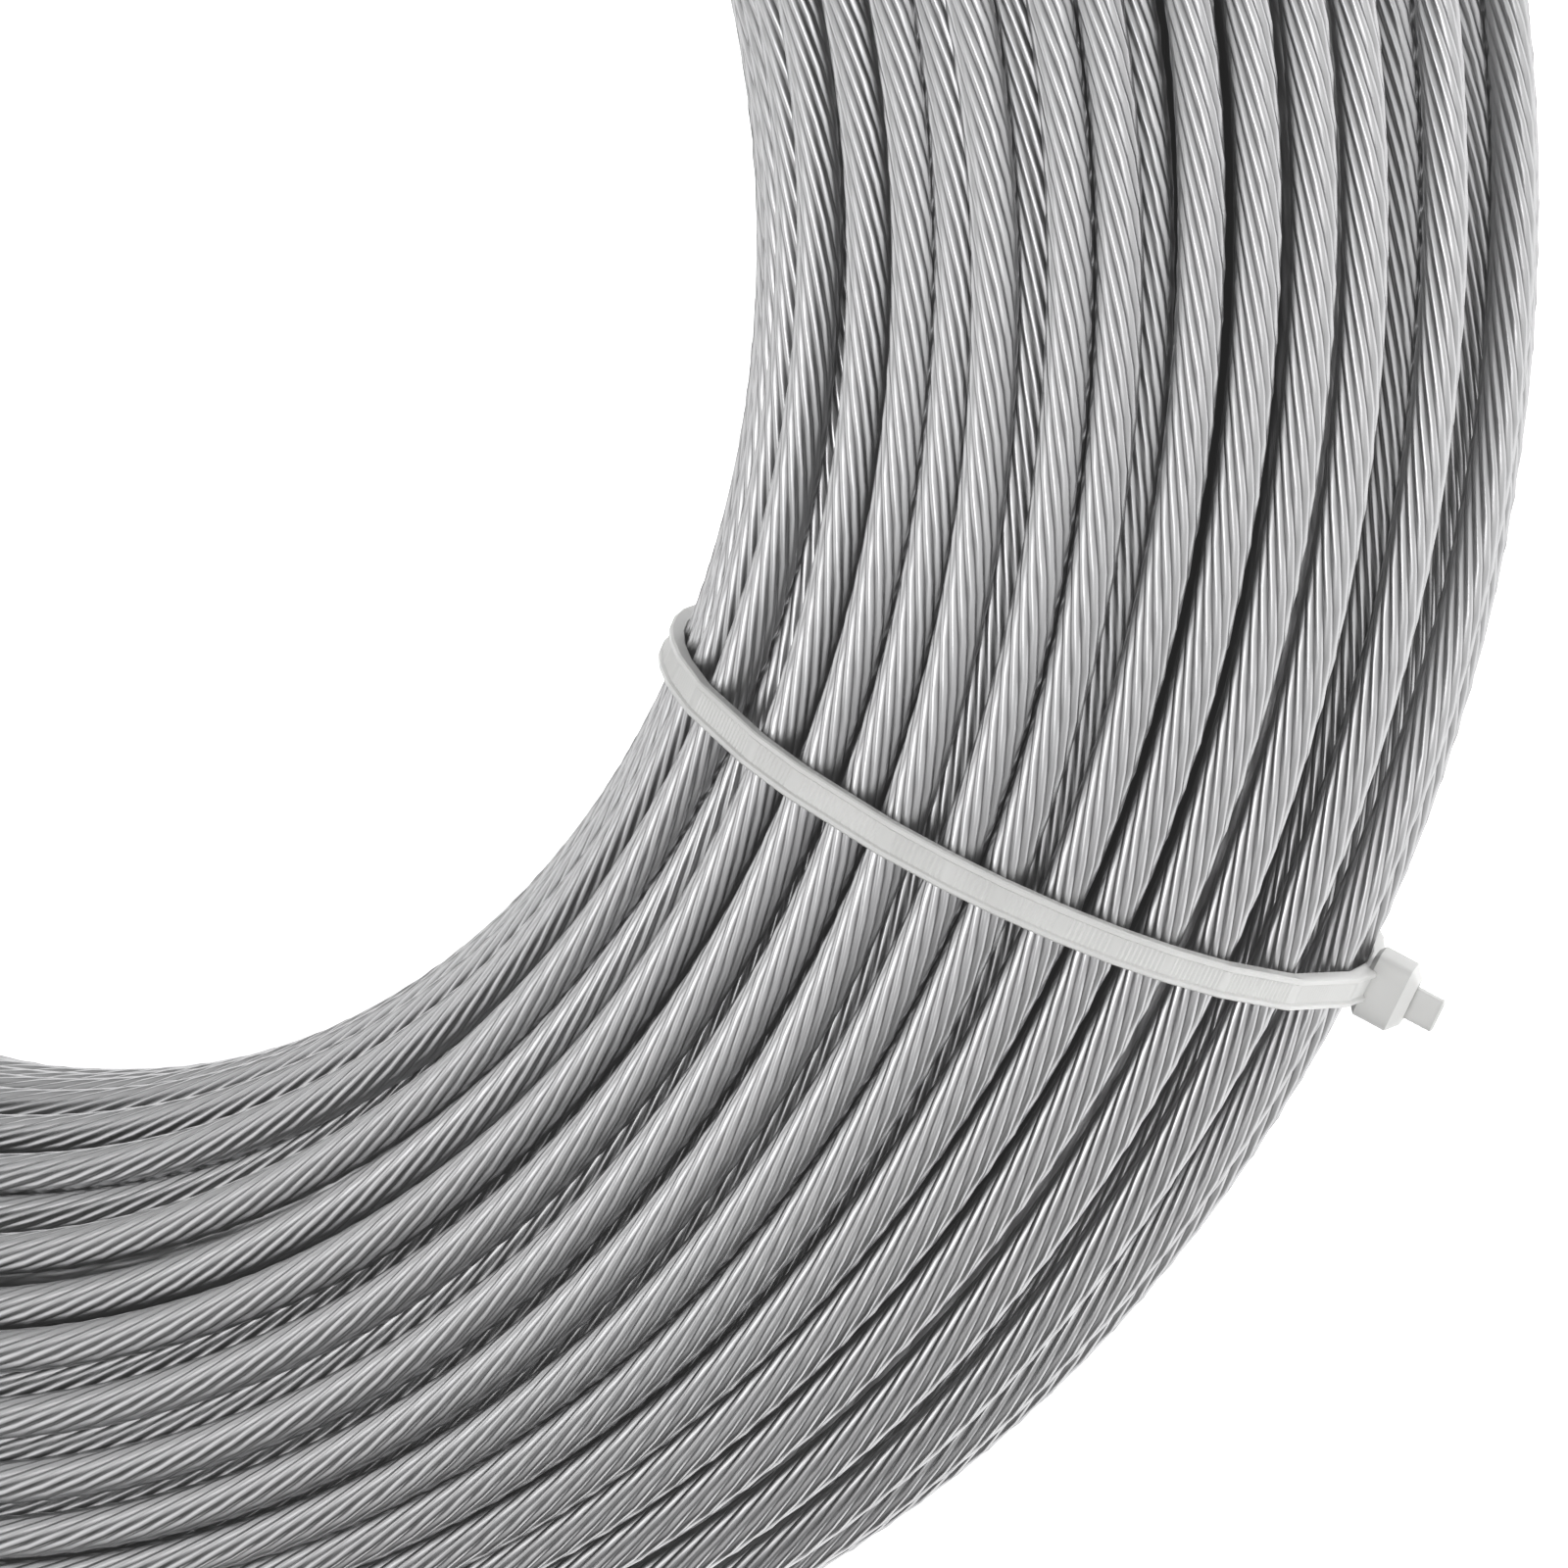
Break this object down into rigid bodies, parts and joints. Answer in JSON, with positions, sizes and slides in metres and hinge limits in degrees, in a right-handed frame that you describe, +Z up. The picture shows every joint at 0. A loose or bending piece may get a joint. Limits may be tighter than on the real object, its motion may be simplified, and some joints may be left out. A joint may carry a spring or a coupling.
{
  "type": "coil of wire rope",
  "caption": "Round coil of thin stainless wire strand, wound into a thick ring with an open bore and bundled by natural nylon cable ties.",
  "frame": {"origin": "on the coil's axis, at the level of the ties' undersides, which the coil lies on", "axes": "+Z up along the coil's axis; the first cable tie is at +X and the others are a quarter turn apart"},
  "size_m": [0.2552, 0.2552, 0.0632],
  "materials": {
    "stainless_wire": "bright drawn stainless wires, left-hand lay",
    "natural_nylon": "translucent natural nylon"
  },
  "bodies": {
    "root": {"rope_coil": "stainless_wire", "cable_tie_1": "natural_nylon", "cable_tie_2": "natural_nylon", "cable_tie_3": "natural_nylon", "cable_tie_4": "natural_nylon"}
  },
  "joints": []
}
